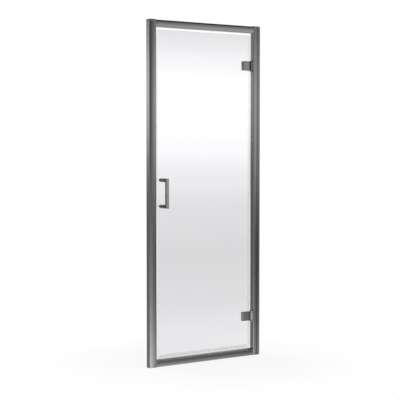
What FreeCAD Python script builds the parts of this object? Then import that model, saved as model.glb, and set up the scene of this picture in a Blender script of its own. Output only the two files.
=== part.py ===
"""Framed shower door with one hinged glass leaf, in millimetres.

The origin is in the middle of the threshold's underside. X runs along the opening towards the
hinges, Y runs into the shower and Z runs up. The leaf is shown shut and opens outwards, to -Y.
"""

import FreeCAD
import Part
import math
import os

# Overall size of the door set
door_width = 755.0
door_height = 1850.0
frame_depth = 29.0

# Wall channels: a U that is screwed to each wall and takes up walls that are out of true
channel_leg = 19.5
channel_wall = 1.6
channel_rise = 2.8
channel_crown = 0.55
wall_screw_hole = 5.5
wall_screw_end = 125.0
wall_screw_middle = 540.0

# Posts: hollow uprights that slide into the wall channels
upright_width = 45.0
post_wall = 1.5
post_crown = 0.7
post_edge_radius = 2.5
slide_clearance = 0.2
lip_clearance = 0.7
adjust_room = 4.0

# Caps that close the tops of the uprights
cap_height = 12.0
cap_corner_radius = 9.0
cap_front_radius = 6.0
cap_plug_depth = 10.0
cap_plug_setback = 4.4
plug_clearance = 0.2

# Rails between the posts
top_rail_height = 39.0
top_rail_drop = 1.8
threshold_height = 32.0
upstand_height = 6.7
upstand_thickness = 3.1
threshold_edge_radius = 2.0
rail_wall = 1.5
rail_lean = 1.15
rail_crown = 0.55
rail_edge_radius = 9.0
rail_lip_radius = 1.0

# Screws that hold the rails to the posts
corner_screw_diameter = 4.0
corner_screw_length = 24.0
corner_screw_head = 8.0
corner_screw_head_height = 3.0
corner_screw_edge = 9.5
corner_screw_spacing = 13.0
port_wall = 2.5
access_hole = 10.0

# Screws that lock a post in its channel, under snap-on covers
clamp_screw_diameter = 4.0
clamp_screw_length = 12.0
clamp_screw_head = 8.0
clamp_screw_head_height = 2.6
clamp_screw_end = 250.0
clamp_screw_count = 3
cover_wall = 1.2

# Running and thread clearances, on the radius, and the hex sockets of the fasteners
fit_clearance = 0.05
hole_clearance = 0.2
socket_across_radius = 1.2
socket_share = 0.6

# Glass leaf
glass_thickness = 6.0
glass_setback = 1.0
glass_top_gap = 12.5
glass_bottom_gap = 9.3
glass_arris = 0.5
edge_to_axis = 6.0

# Hinges
hinge_end = 223.5
plate_width = 45.5
plate_height = 51.5
plate_edge_inset = 10.0
plate_edge_radius = 0.8
plate_front_radius = 4.0
front_plate_thickness = 14.0
back_plate_thickness = 4.5
back_plate_inset = 9.0
gasket_thickness = 1.0
barrel_radius = 12.0
barrel_edge_radius = 0.8
barrel_gap = 1.5
axis_in_front = 2.0
knuckle_height = 43.6
knuckle_gap = 2.2
knuckle_relief = 0.5
lug_height = 6.0
web_setback = 1.5
pin_diameter = 8.0
bush_wall = 2.0
bush_flange = 5.0
bush_length = 9.0
flange_clearance = 0.1
bracket_thickness = 4.0
bracket_depth = 24.0
bracket_screw_diameter = 5.0
bracket_screw_length = 11.0
bracket_screw_head = 9.5
bracket_screw_spacing = 38.0
bracket_screw_offset = 5.0
backing_thickness = 4.0
backing_margin = 0.7
backing_height = 60.0
grub_diameter = 3.0
grub_length = 6.0
clamp_bolt_diameter = 6.0
clamp_bolt_head = 11.4
clamp_bolt_spacing = 20.0
clamp_bolt_cover = 2.5
sleeve_wall = 3.6

# Handle
handle_centre = 928.5
handle_hole_spacing = 140.0
handle_from_edge = 23.0
handle_bar_width = 17.0
handle_bar_depth = 14.0
handle_edge_radius = 1.2
handle_reach = 48.0
standoff_diameter = 20.0
washer_thickness = 1.0
handle_bolt_diameter = 6.0
handle_bolt_head = 10.0
handle_bolt_head_height = 4.0
handle_bolt_engagement = 8.0
back_disc_diameter = 16.0
back_disc_thickness = 5.0

# Seals
seal_wall = 1.0
strike_seal_leg = 12.0
hinge_seal_leg = 9.5
drip_seal_leg = 14.0
seal_end_gap = 1.0
seal_chamber = 4.2
magnet_thickness = 3.0
magnet_clearance = 0.1
magnet_end_gap = 2.0
strike_gap = 1.0
fin_thickness = 1.2
hinge_fin_gap = 0.8
hinge_fin_notch = 2.5
drip_fin_gap = 0.6
drip_fin_floor_gap = 1.5
carrier_base = 2.3
carrier_end_gap = 0.5
carrier_neck = 4.6
carrier_foot = 7.6
carrier_foot_depth = 2.4
slot_clearance = 0.2

# Places that follow from the sizes above
half_width = door_width / 2
half_depth = frame_depth / 2
post_half_depth = half_depth - channel_wall - slide_clearance
channel_lip = half_depth + channel_rise
post_front = channel_lip - channel_wall - lip_clearance
post_flat_front = post_front - post_edge_radius
post_face = half_width - upright_width
post_end = half_width - channel_wall - adjust_room
channel_end = half_width - channel_leg
upright_top = door_height - cap_height
top_rail_top = door_height - top_rail_drop
top_rail_bottom = top_rail_top - top_rail_height
upstand_top = threshold_height + upstand_height
upstand_front = post_half_depth - upstand_thickness
screw_row = -post_flat_front + corner_screw_head / 2 + hole_clearance
clamp_row = (channel_end + post_end) / 2

glass_front = glass_setback
glass_back = glass_front + glass_thickness
glass_middle = (glass_front + glass_back) / 2
glass_bottom = upstand_top + glass_bottom_gap
glass_top = top_rail_bottom - glass_top_gap

plate_back = glass_front - gasket_thickness
plate_front = plate_back - front_plate_thickness
axis_x = post_face - barrel_gap - barrel_radius
axis_y = plate_front - axis_in_front
glass_hinge_edge = axis_x - edge_to_axis
plate_hinge_edge = glass_hinge_edge - plate_edge_inset
plate_free_edge = plate_hinge_edge - plate_width
plate_middle = (plate_hinge_edge + plate_free_edge) / 2
shoulder_edge = axis_x - barrel_radius - knuckle_relief
barrel_half = knuckle_height / 2 + knuckle_gap + lug_height
bracket_face = post_face - bracket_thickness
hinge_heights = {"upper": door_height - hinge_end, "lower": hinge_end}

pocket_depth = 2 * post_wall + carrier_foot_depth + slot_clearance
plug_start = post_face + max(pocket_depth, post_wall + corner_screw_head_height) + cap_plug_setback

seal_front = glass_front - seal_wall
seal_back = glass_back + seal_wall
magnet_pocket = magnet_thickness + 2 * magnet_clearance
strike_head = 3 * seal_wall + seal_chamber + magnet_pocket
carrier_depth = carrier_base + magnet_pocket + seal_wall
carrier_face = -post_face + carrier_depth
glass_strike_edge = carrier_face + strike_gap + strike_head

handle_x = glass_strike_edge + handle_from_edge
handle_heights = [handle_centre - handle_hole_spacing / 2, handle_centre + handle_hole_spacing / 2]
standoff_front = glass_front - handle_reach
bar_front = standoff_front - handle_bar_depth


# Shapes that the pieces are made from
def box(x, y, z):
    """A block between pairs of limits, which may be given in either order."""
    low = [min(pair) for pair in (x, y, z)]
    size = [abs(pair[1] - pair[0]) for pair in (x, y, z)]
    return Part.makeBox(*size, FreeCAD.Vector(*low))


def rod(radius, start, end):
    """A round bar between two points."""
    run = FreeCAD.Vector(*end) - FreeCAD.Vector(*start)
    return Part.makeCylinder(radius, run.Length, FreeCAD.Vector(*start), run)


def cone(start_radius, end_radius, start, end):
    """A round taper between two points."""
    run = FreeCAD.Vector(*end) - FreeCAD.Vector(*start)
    return Part.makeCone(start_radius, end_radius, run.Length, FreeCAD.Vector(*start), run)


def hexagon(across_flats, start, end):
    """A hexagonal bar between two points, as cut by a hex key's socket."""
    run = FreeCAD.Vector(*end) - FreeCAD.Vector(*start)
    corner_radius = across_flats / math.sqrt(3)
    points = []
    for step in range(7):
        angle = math.radians(60 * step)
        points.append(FreeCAD.Vector(corner_radius * math.cos(angle), corner_radius * math.sin(angle), 0))
    bar = Part.Face(Part.makePolygon(points)).extrude(FreeCAD.Vector(0, 0, run.Length))
    turn = FreeCAD.Rotation(FreeCAD.Vector(0, 0, 1), run)
    bar.Placement = FreeCAD.Placement(FreeCAD.Vector(*start), turn)
    return bar


def plan(x, y):
    """A point of a section that is seen from above."""
    return FreeCAD.Vector(x, y, 0)


def front(x, z):
    """A point of a section that is seen from outside."""
    return FreeCAD.Vector(x, 0, z)


def side(y, z):
    """A point of a section that is seen from the end of the opening."""
    return FreeCAD.Vector(0, y, z)


def section(view, start, *legs):
    """A flat face with straight legs, given by their ends, and arcs, given by a point and an end."""
    here = view(*start)
    edges = []
    for leg in legs + ([start],):
        points = [view(*point) for point in leg]
        if len(points) == 2:
            edges.append(Part.Arc(here, points[0], points[1]).toShape())
        elif here.distanceToPoint(points[0]) > 0:
            edges.append(Part.LineSegment(here, points[0]).toShape())
        here = points[-1]
    return Part.Face(Part.Wire(edges))


def upright(face, bottom, top):
    """A section seen from above, drawn out from one height to another."""
    face.translate(FreeCAD.Vector(0, 0, bottom))
    return face.extrude(FreeCAD.Vector(0, 0, top - bottom))


def along(face, start, end):
    """A section seen from the end of the opening, drawn out along it."""
    face.translate(FreeCAD.Vector(start, 0, 0))
    return face.extrude(FreeCAD.Vector(end - start, 0, 0))


def on_arc(centre_a, centre_b, radius, degrees):
    """A point on a circle in a section."""
    angle = math.radians(degrees)
    return (centre_a + radius * math.cos(angle), centre_b + radius * math.sin(angle))


def merged(first, *others):
    """One solid from several that touch or overlap."""
    return first.fuse(list(others)).removeSplitter()


def rounded(shape, radius, keep):
    """A shape with a small radius on the edges that a test picks."""
    return shape.makeFillet(radius, [edge for edge in shape.Edges if keep(edge)])


def is_circle(edge):
    """Whether an edge is a full circle, as at the end of a round bar."""
    return edge.isClosed()


def write(name, *solids):
    """One file for each node, with one solid or a group of like solids."""
    shape = solids[0] if len(solids) == 1 else Part.makeCompound(list(solids))
    for solid in shape.Solids:
        if not solid.isValid():
            raise ValueError(name + " has a solid that is not valid")
    if len(shape.Solids) != len(solids):
        raise ValueError(name + " is not in whole solids")
    shape.exportStep("parts/" + name + ".step")


def spread(first, last, count):
    """Evenly spaced places between two ends, both included."""
    return [first + (last - first) * step / (count - 1) for step in range(count)]


# Fasteners and the holes that take them
def countersunk_screw(radius, head_radius, face, tip):
    """A screw with its head flush with a face, and a hex socket."""
    run = (FreeCAD.Vector(*tip) - FreeCAD.Vector(*face)).normalize()
    neck = tuple(FreeCAD.Vector(*face) + run * (head_radius - radius))
    floor = tuple(FreeCAD.Vector(*face) + run * radius)
    body = merged(cone(head_radius, radius, face, neck), rod(radius, neck, tip))
    return body.cut(hexagon(radius * socket_across_radius, face, floor))


def countersunk_hole(radius, head_radius, face, end):
    """The clear hole for such a screw."""
    run = (FreeCAD.Vector(*end) - FreeCAD.Vector(*face)).normalize()
    neck = tuple(FreeCAD.Vector(*face) + run * (head_radius - radius))
    return merged(cone(head_radius, radius, face, neck), rod(radius, face, end))


def headed_screw(radius, head_radius, head_height, seat, tip):
    """A screw whose head stands on a face, with a hex socket in the head."""
    run = (FreeCAD.Vector(*tip) - FreeCAD.Vector(*seat)).normalize()
    crown = tuple(FreeCAD.Vector(*seat) - run * head_height)
    floor = tuple(FreeCAD.Vector(*crown) + run * head_height * socket_share)
    body = merged(rod(head_radius, crown, seat), rod(radius, seat, tip))
    return body.cut(hexagon(radius * socket_across_radius, crown, floor))


# Where the fasteners go
wall_screw_heights = [
    wall_screw_end,
    door_height / 2 - wall_screw_middle / 2,
    door_height / 2 + wall_screw_middle / 2,
    door_height - wall_screw_end,
]
clamp_heights = spread(clamp_screw_end, door_height - clamp_screw_end, clamp_screw_count)
threshold_screw_heights = [corner_screw_edge, corner_screw_edge + corner_screw_spacing]
top_rail_screw_heights = [
    top_rail_bottom + corner_screw_edge,
    top_rail_bottom + corner_screw_edge + corner_screw_spacing,
]
corner_screw_heights = threshold_screw_heights + top_rail_screw_heights


# Wall channels
def channel_outline(hand, inner):
    """The front and back of an upright over its channel: bowed out to its lip in front and flat behind."""
    wall = hand * half_width
    end = hand * inner
    middle = (-half_depth - channel_lip) / 2
    return section(
        plan,
        (wall, half_depth),
        [(wall, -half_depth)],
        [((wall + end) / 2, middle - channel_crown), (end, -channel_lip)],
        [(end, half_depth)],
    )


def wall_channel(hand):
    """A U section with screw holes in its web and clamp holes in its back leg."""
    inner_depth = half_depth - channel_wall
    web = hand * (half_width - channel_wall)
    end = hand * channel_end
    room = section(
        plan,
        (web, inner_depth),
        [(web, -inner_depth)],
        [(end, -channel_lip + channel_wall)],
        [(end, inner_depth)],
    )
    channel = upright(channel_outline(hand, channel_end), 0, upright_top)
    channel = channel.cut(upright(room, 0, upright_top))
    for height in wall_screw_heights:
        channel = channel.cut(rod(wall_screw_hole / 2, (hand * (half_width - channel_wall), 0, height),
                                  (hand * half_width, 0, height)))
    for height in clamp_heights:
        channel = channel.cut(rod(clamp_screw_diameter / 2 + hole_clearance,
                                  (hand * clamp_row, inner_depth, height),
                                  (hand * clamp_row, half_depth, height)))
    return channel


# Posts
def post_section(hand, inset):
    """A post from above, drawn in by a wall: crowned where it shows, and sloped in its channel."""
    face = post_face + inset
    end = post_end - inset
    edge = post_edge_radius - inset
    depth = post_half_depth - inset
    near = post_front - inset
    bend = edge * (1 - math.sqrt(0.5))
    return section(
        plan,
        (hand * end, depth),
        [(hand * end, -depth)],
        [(hand * channel_end, -near)],
        [(hand * (face + edge + channel_end) / 2, -near - post_crown), (hand * (face + edge), -near)],
        [(hand * (face + bend), -near + bend), (hand * face, -near + edge)],
        [(hand * face, depth)],
    )


def post(hand):
    """A hollow post with holes for the rail screws, their driver, and the clamp screws."""
    depth = post_half_depth - post_wall
    hollow = upright(post_section(hand, post_wall), 0, upright_top)
    shape = upright(post_section(hand, 0), 0, upright_top).cut(hollow)
    for height in corner_screw_heights:
        inner = (hand * post_face, screw_row, height)
        wall = (hand * (post_face + post_wall), screw_row, height)
        back = (hand * (post_end - post_wall), screw_row, height)
        outer = (hand * post_end, screw_row, height)
        shape = shape.cut(rod(corner_screw_diameter / 2 + hole_clearance, inner, wall))
        shape = shape.cut(rod(access_hole / 2, back, outer))
    for height in clamp_heights:
        shape = shape.cut(rod(clamp_screw_diameter / 2 + fit_clearance, (hand * clamp_row, depth, height),
                              (hand * clamp_row, post_half_depth, height)))
    return shape


def seal_slot(grow, bottom, top):
    """The T that holds the strike seal in its post: a neck in the face and a wider foot behind it."""
    neck = carrier_neck / 2 + grow
    foot = carrier_foot / 2 + grow
    floor = -post_face - post_wall
    neck_block = box((-post_face, floor + grow), (glass_middle - neck, glass_middle + neck), (bottom, top))
    foot_block = box((floor + grow, floor - carrier_foot_depth - grow),
                     (glass_middle - foot, glass_middle + foot), (bottom, top))
    return merged(neck_block, foot_block)


def strike_post():
    """The post on the handle side, with a T slot along it for the magnetic seal."""
    half_pocket = carrier_foot / 2 + slot_clearance + post_wall
    pocket = box((-post_face, -post_face - pocket_depth),
                 (glass_middle - half_pocket, glass_middle + half_pocket), (0, upright_top))
    return merged(post(-1), pocket).cut(seal_slot(slot_clearance, 0, upright_top))


def hinge_post():
    """The post on the hinge side, drilled for the hinge brackets' screws."""
    shape = post(1)
    for height in hinge_heights.values():
        for screw_height in bracket_screw_heights(height):
            shape = shape.cut(rod(bracket_screw_diameter / 2 + hole_clearance,
                                  (post_face, bracket_screw_offset, screw_height),
                                  (post_face + post_wall, bracket_screw_offset, screw_height)))
    return shape


# Caps
def upright_cap(hand):
    """A moulded cap that follows the channel and the post, rounded at its outer and front top edges."""
    over_channel = upright(channel_outline(hand, channel_end), upright_top, door_height)
    over_post = upright(post_section(hand, 0), upright_top, door_height)
    reach = channel_lip + channel_crown
    corner = half_width - cap_corner_radius
    crest = door_height - cap_corner_radius
    bend = on_arc(corner, crest, cap_corner_radius, 45)
    profile = section(
        front,
        (hand * post_face, upright_top),
        [(hand * half_width, upright_top)],
        [(hand * half_width, crest)],
        [(hand * bend[0], bend[1]), (hand * corner, door_height)],
        [(hand * post_face, door_height)],
    )
    profile.translate(FreeCAD.Vector(0, -reach, 0))
    turn = door_height - cap_front_radius
    inside = -reach + cap_front_radius
    brow = section(
        side,
        (reach, upright_top),
        [(-reach, upright_top)],
        [(-reach, turn)],
        [on_arc(inside, turn, cap_front_radius, 135), (inside, door_height)],
        [(reach, door_height)],
    )
    head = merged(over_channel, over_post).common(profile.extrude(FreeCAD.Vector(0, 2 * reach, 0)))
    head = head.common(along(brow, -half_width, half_width))
    plug_half = post_half_depth - post_wall - plug_clearance
    plug = box((hand * plug_start, hand * (post_end - post_wall - plug_clearance)),
               (-plug_half, plug_half), (upright_top - cap_plug_depth, upright_top))
    return merged(head, plug)


# Rails
def rail_section(inner, outer, edge_radius, inset):
    """A rail from its end, drawn in all round: a bowed front that leans out to a rounded outer edge."""
    away = 1 if outer > inner else -1
    depth = post_half_depth - inset
    edge = edge_radius - inset
    near = inner + away * inset
    far = outer - away * inset
    turn = far - away * edge
    crest = -depth - rail_lean
    return section(
        side,
        (depth, near),
        [(-depth, near)],
        [((crest - depth) / 2 - rail_crown, (near + turn) / 2), (crest, turn)],
        [on_arc(crest + edge, turn, edge, 180 - 45 * away), (crest + edge, far)],
        [(depth, far)],
    )


def rail(inner, outer, edge_radius, heights):
    """A hollow rail between the posts, with screw ports along its front wall."""
    length = (-post_face, post_face)
    outline = rounded(along(rail_section(inner, outer, edge_radius, 0), *length), rail_lip_radius,
                      lambda edge: edge.CenterOfMass.y < rail_lip_radius - post_half_depth
                      and abs(edge.CenterOfMass.z - inner) < rail_lip_radius)
    shape = outline.cut(along(rail_section(inner, outer, edge_radius, rail_wall), *length))
    rib_limit = along(rail_section(inner, outer, edge_radius, rail_wall / 2), *length)
    radius = corner_screw_diameter / 2
    ports = []
    for height in heights:
        boss = rod(radius + port_wall, (-post_face, screw_row, height), (post_face, screw_row, height))
        rib = box(length, (-post_half_depth - rail_lean - rail_crown, screw_row),
                  (height - radius, height + radius))
        ports += [boss, rib.common(rib_limit)]
    shape = merged(shape, *ports)
    for height in heights:
        shape = shape.cut(rod(radius + fit_clearance, (-post_face, screw_row, height),
                              (post_face, screw_row, height)))
    return shape


def top_rail():
    """The head rail."""
    return rail(top_rail_bottom, top_rail_top, rail_edge_radius, top_rail_screw_heights)


def threshold_rail():
    """The bottom rail: a ledge under the leaf, and an upstand behind it that keeps the water in."""
    upstand = box((-post_face, post_face), (upstand_front, post_half_depth),
                  (threshold_height - rail_wall, upstand_top))
    return merged(rail(threshold_height, 0, threshold_edge_radius, threshold_screw_heights), upstand)


# Fasteners of the frame
def corner_screws():
    """Two screws at each end of each rail, driven from inside the posts."""
    screws = []
    for hand in (-1, 1):
        seat = hand * (post_face + post_wall)
        tip = seat - hand * corner_screw_length
        for height in corner_screw_heights:
            screws.append(headed_screw(corner_screw_diameter / 2, corner_screw_head / 2,
                                       corner_screw_head_height, (seat, screw_row, height),
                                       (tip, screw_row, height)))
    return screws


def clamp_screws():
    """Screws through the back legs of the channels into the posts."""
    screws = []
    for hand in (-1, 1):
        for height in clamp_heights:
            screws.append(headed_screw(clamp_screw_diameter / 2, clamp_screw_head / 2,
                                       clamp_screw_head_height, (hand * clamp_row, half_depth, height),
                                       (hand * clamp_row, half_depth - clamp_screw_length, height)))
    return screws


def clamp_covers():
    """Snap-on covers over the clamp screws' heads."""
    covers = []
    room_radius = clamp_screw_head / 2 + hole_clearance
    inner = half_depth + clamp_screw_head_height + hole_clearance
    outer = inner + cover_wall
    for hand in (-1, 1):
        for height in clamp_heights:
            shell = rod(room_radius + cover_wall, (hand * clamp_row, half_depth, height),
                        (hand * clamp_row, outer, height))
            shell = rounded(shell, cover_wall / 2, lambda edge: edge.CenterOfMass.y > inner)
            room = rod(room_radius, (hand * clamp_row, half_depth, height),
                       (hand * clamp_row, inner, height))
            covers.append(shell.cut(room))
    return covers


# Seals of the strike side
def strike_carrier():
    """A plastic strip that clips into the strike post and holds a magnet along its face."""
    bottom = upstand_top + carrier_end_gap
    top = top_rail_bottom - carrier_end_gap
    head = box((-post_face, carrier_face), (seal_front, seal_back), (bottom, top))
    pocket = box((carrier_face - seal_wall, carrier_face - seal_wall - magnet_pocket),
                 (glass_front, glass_back), (bottom, top))
    return merged(head, seal_slot(0, bottom, top)).cut(pocket)


def magnet_strip(face, bottom, top):
    """A flat magnet in a seal's pocket, where face is the pocket's side towards the strike post."""
    return box((face + magnet_clearance, face + magnet_clearance + magnet_thickness),
               (glass_front + magnet_clearance, glass_back - magnet_clearance),
               (bottom + magnet_end_gap, top - magnet_end_gap))


def door_magnet_seal():
    """The seal on the leaf's free edge: legs over the glass, a soft chamber and a magnet pocket."""
    face = glass_strike_edge - strike_head
    rows = (glass_bottom, glass_top)
    body = box((face, glass_strike_edge + strike_seal_leg), (seal_front, seal_back), rows)
    glass_slot = box((glass_strike_edge, glass_strike_edge + strike_seal_leg),
                     (glass_front, glass_back), rows)
    pocket = box((face + seal_wall, face + seal_wall + magnet_pocket), (glass_front, glass_back), rows)
    chamber = box((glass_strike_edge - seal_wall, glass_strike_edge - seal_wall - seal_chamber),
                  (glass_front, glass_back), rows)
    return body.cut([glass_slot, pocket, chamber])


# Seals of the other two edges
def hinge_side_seal():
    """A push-on seal whose fin closes the gap to the hinge post, cut back at the brackets."""
    rows = (glass_bottom, glass_top)
    legs = box((glass_hinge_edge - hinge_seal_leg, glass_hinge_edge + seal_wall),
               (seal_front, seal_back), rows)
    slot = box((glass_hinge_edge - hinge_seal_leg, glass_hinge_edge), (glass_front, glass_back), rows)
    fin = box((glass_hinge_edge, post_face - hinge_fin_gap),
              (glass_middle - fin_thickness / 2, glass_middle + fin_thickness / 2), rows)
    seal = merged(legs, fin).cut(slot)
    for height in hinge_heights.values():
        notch = barrel_half + hinge_fin_notch
        seal = seal.cut(box((bracket_face - hinge_fin_notch, post_face), (seal_front, seal_back),
                            (height - notch, height + notch)))
    return seal


def bottom_drip_seal():
    """A push-on seal with a fin that hangs just in front of the threshold's upstand."""
    ends = (glass_strike_edge, glass_hinge_edge)
    leg_ends = (ends[0] + strike_seal_leg + seal_end_gap, ends[1] - hinge_seal_leg - seal_end_gap)
    leg_rows = (glass_bottom, glass_bottom + drip_seal_leg)
    fin_back = upstand_front - drip_fin_gap
    fin_bottom = threshold_height + drip_fin_floor_gap
    shoe = box(ends, (seal_front, fin_back), (glass_bottom - seal_wall, glass_bottom))
    legs = box(leg_ends, (seal_front, seal_back), leg_rows)
    slot = box(leg_ends, (glass_front, glass_back), leg_rows)
    fin = box(ends, (fin_back - fin_thickness, fin_back), (fin_bottom, glass_bottom))
    return merged(shoe, legs, fin).cut(slot)


# Hinges
def bracket_screw_heights(height):
    """The two screws of a bracket, above and below its middle."""
    return [height - bracket_screw_spacing / 2, height + bracket_screw_spacing / 2]


def clamp_bolt_heights(height):
    """The two bolts that pinch the glass between a hinge's plates."""
    return [height - clamp_bolt_spacing / 2, height + clamp_bolt_spacing / 2]


def lug_spans(height):
    """The lower and upper lugs of a bracket."""
    inner = knuckle_height / 2 + knuckle_gap
    return [(height - barrel_half, height - inner), (height + inner, height + barrel_half)]


def hinge_bracket(height):
    """The fixed half of a hinge: a base on the post and two lugs round the pin."""
    half = bracket_depth / 2
    base = box((bracket_face, post_face), (-half, half), (height - barrel_half, height + barrel_half))
    relief = rod(barrel_radius + knuckle_relief, (axis_x, axis_y, height - knuckle_height / 2 - knuckle_gap),
                 (axis_x, axis_y, height + knuckle_height / 2 + knuckle_gap))
    shape = base.cut(relief)
    lugs = []
    for low, high in lug_spans(height):
        lug = rod(barrel_radius, (axis_x, axis_y, low), (axis_x, axis_y, high))
        lugs.append(rounded(lug, barrel_edge_radius, is_circle))
        lugs.append(box((axis_x, post_face), (axis_y, axis_y + barrel_radius - barrel_edge_radius),
                        (low + barrel_edge_radius, high - barrel_edge_radius)))
    shape = merged(shape, *lugs)
    shape = shape.cut(rod(pin_diameter / 2 + fit_clearance, (axis_x, axis_y, height - barrel_half),
                          (axis_x, axis_y, height + barrel_half)))
    for screw_height in bracket_screw_heights(height):
        shape = shape.cut(countersunk_hole(bracket_screw_diameter / 2 + fit_clearance,
                                           bracket_screw_head / 2 + fit_clearance,
                                           (bracket_face, bracket_screw_offset, screw_height),
                                           (post_face, bracket_screw_offset, screw_height)))
    for low, high in lug_spans(height):
        middle = (low + high) / 2
        shape = shape.cut(rod(grub_diameter / 2 + fit_clearance, (axis_x, axis_y, middle),
                              (axis_x, axis_y + barrel_radius, middle)))
    return shape


def bracket_screws():
    """Countersunk screws through the brackets and the post into the backing plates."""
    screws = []
    for height in hinge_heights.values():
        for screw_height in bracket_screw_heights(height):
            screws.append(countersunk_screw(bracket_screw_diameter / 2, bracket_screw_head / 2,
                                            (bracket_face, bracket_screw_offset, screw_height),
                                            (bracket_face + bracket_screw_length, bracket_screw_offset,
                                             screw_height)))
    return screws


def backing_plates():
    """Steel plates inside the hinge post that the bracket screws bite into."""
    plates = []
    front_edge = -post_flat_front + backing_margin
    back_edge = post_half_depth - post_wall - backing_margin
    near = post_face + post_wall
    for height in hinge_heights.values():
        plate = box((near, near + backing_thickness), (front_edge, back_edge),
                    (height - backing_height / 2, height + backing_height / 2))
        for screw_height in bracket_screw_heights(height):
            plate = plate.cut(rod(bracket_screw_diameter / 2 + fit_clearance,
                                  (near, bracket_screw_offset, screw_height),
                                  (near + backing_thickness, bracket_screw_offset, screw_height)))
        plates.append(plate)
    return plates


def hinge_pin(height):
    """The pin through both lugs and the knuckle."""
    return rod(pin_diameter / 2, (axis_x, axis_y, height - barrel_half),
               (axis_x, axis_y, height + barrel_half))


def grub_screws():
    """A grub screw in each lug that holds the pin still."""
    screws = []
    near = axis_y + pin_diameter / 2 + fit_clearance
    for height in hinge_heights.values():
        for low, high in lug_spans(height):
            middle = (low + high) / 2
            body = rod(grub_diameter / 2, (axis_x, near, middle), (axis_x, near + grub_length, middle))
            socket = hexagon(grub_diameter / 2, (axis_x, near + grub_length, middle),
                             (axis_x, near + grub_length / 2, middle))
            screws.append(body.cut(socket))
    return screws


def plate_block(height, inset, near, far):
    """A block with the outline of a hinge plate, drawn in all round."""
    reach = plate_height / 2 - inset
    return box((plate_free_edge + inset, plate_hinge_edge - inset), (near, far),
               (height - reach, height + reach))


def hinge_front_plate(height):
    """The moving half of a hinge: a plate on the glass, a web, and the knuckle round the pin."""
    web_depth = (plate_front, plate_back - web_setback)
    shoulder = box((plate_hinge_edge, shoulder_edge), web_depth,
                   (height - plate_height / 2, height + plate_height / 2))
    plate = merged(plate_block(height, 0, plate_front, plate_back), shoulder)
    plate = rounded(plate, plate_front_radius,
                    lambda edge: edge.CenterOfMass.y < plate_back - plate_front_radius
                    and edge.CenterOfMass.x < plate_hinge_edge - plate_front_radius)
    span = (height - knuckle_height / 2, height + knuckle_height / 2)
    web = box((plate_hinge_edge, axis_x), web_depth, span)
    knuckle = rod(barrel_radius, (axis_x, axis_y, span[0]), (axis_x, axis_y, span[1]))
    shape = merged(plate, web, rounded(knuckle, barrel_edge_radius, is_circle))
    shape = shape.cut(rod(pin_diameter / 2 + bush_wall + 2 * fit_clearance, (axis_x, axis_y, span[0]),
                          (axis_x, axis_y, span[1])))
    for bolt_height in clamp_bolt_heights(height):
        shape = shape.cut(rod(clamp_bolt_diameter / 2 + fit_clearance,
                              (plate_middle, plate_back, bolt_height),
                              (plate_middle, plate_front + clamp_bolt_cover, bolt_height)))
    return shape


def hinge_bushes():
    """Flanged plastic bushes at both ends of each knuckle."""
    bushes = []
    bore = pin_diameter / 2 + fit_clearance
    outer = bore + bush_wall
    for height in hinge_heights.values():
        for hand in (-1, 1):
            seat = height + hand * knuckle_height / 2
            inner = seat - hand * bush_length
            rim = seat + hand * (knuckle_gap - flange_clearance)
            tube = rod(outer, (axis_x, axis_y, inner), (axis_x, axis_y, seat))
            flange = rod(outer + bush_flange, (axis_x, axis_y, seat), (axis_x, axis_y, rim))
            hole = rod(bore, (axis_x, axis_y, inner), (axis_x, axis_y, rim))
            bushes.append(merged(tube, flange).cut(hole))
    return bushes


def hinge_gaskets():
    """Soft sheets between each hinge plate and the glass."""
    sheets = []
    for height in hinge_heights.values():
        for near, inset in ((plate_back, 0), (glass_back, back_plate_inset)):
            sheet = plate_block(height, inset, near, near + gasket_thickness)
            for bolt_height in clamp_bolt_heights(height):
                sheet = sheet.cut(rod(clamp_bolt_diameter / 2 + hole_clearance,
                                      (plate_middle, near, bolt_height),
                                      (plate_middle, near + gasket_thickness, bolt_height)))
            sheets.append(sheet)
    return sheets


def hinge_back_plate(height):
    """The plate inside the shower that the clamp bolts pull against the glass."""
    near = glass_back + gasket_thickness
    far = near + back_plate_thickness
    plate = plate_block(height, back_plate_inset, near, far)
    plate = rounded(plate, plate_edge_radius, lambda edge: edge.CenterOfMass.y > near + plate_edge_radius)
    for bolt_height in clamp_bolt_heights(height):
        plate = plate.cut(countersunk_hole(clamp_bolt_diameter / 2 + fit_clearance,
                                           clamp_bolt_head / 2 + fit_clearance,
                                           (plate_middle, far, bolt_height),
                                           (plate_middle, near, bolt_height)))
    return plate


def clamp_bolts():
    """Countersunk bolts from inside, through the glass, into the front plates."""
    bolts = []
    far = glass_back + gasket_thickness + back_plate_thickness
    tip = plate_front + clamp_bolt_cover + hole_clearance
    for height in hinge_heights.values():
        for bolt_height in clamp_bolt_heights(height):
            bolts.append(countersunk_screw(clamp_bolt_diameter / 2, clamp_bolt_head / 2,
                                           (plate_middle, far, bolt_height),
                                           (plate_middle, tip, bolt_height)))
    return bolts


# Glass, and the sleeves that keep metal off it
def sleeve_places():
    """The middle of each hole in the glass, with its bolt's radius."""
    places = []
    for height in hinge_heights.values():
        for bolt_height in clamp_bolt_heights(height):
            places.append((plate_middle, bolt_height, clamp_bolt_diameter / 2))
    for bolt_height in handle_heights:
        places.append((handle_x, bolt_height, handle_bolt_diameter / 2))
    return places


def door_glass():
    """One sheet of toughened glass with polished edges and a hole for each bolt."""
    sheet = box((glass_strike_edge, glass_hinge_edge), (glass_front, glass_back), (glass_bottom, glass_top))
    sheet = sheet.makeChamfer(glass_arris, [edge for edge in sheet.Edges
                                            if edge.BoundBox.YLength < glass_thickness / 2])
    for x, z, radius in sleeve_places():
        sheet = sheet.cut(rod(radius + hole_clearance + sleeve_wall + fit_clearance, (x, glass_front, z),
                              (x, glass_back, z)))
    return sheet


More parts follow.
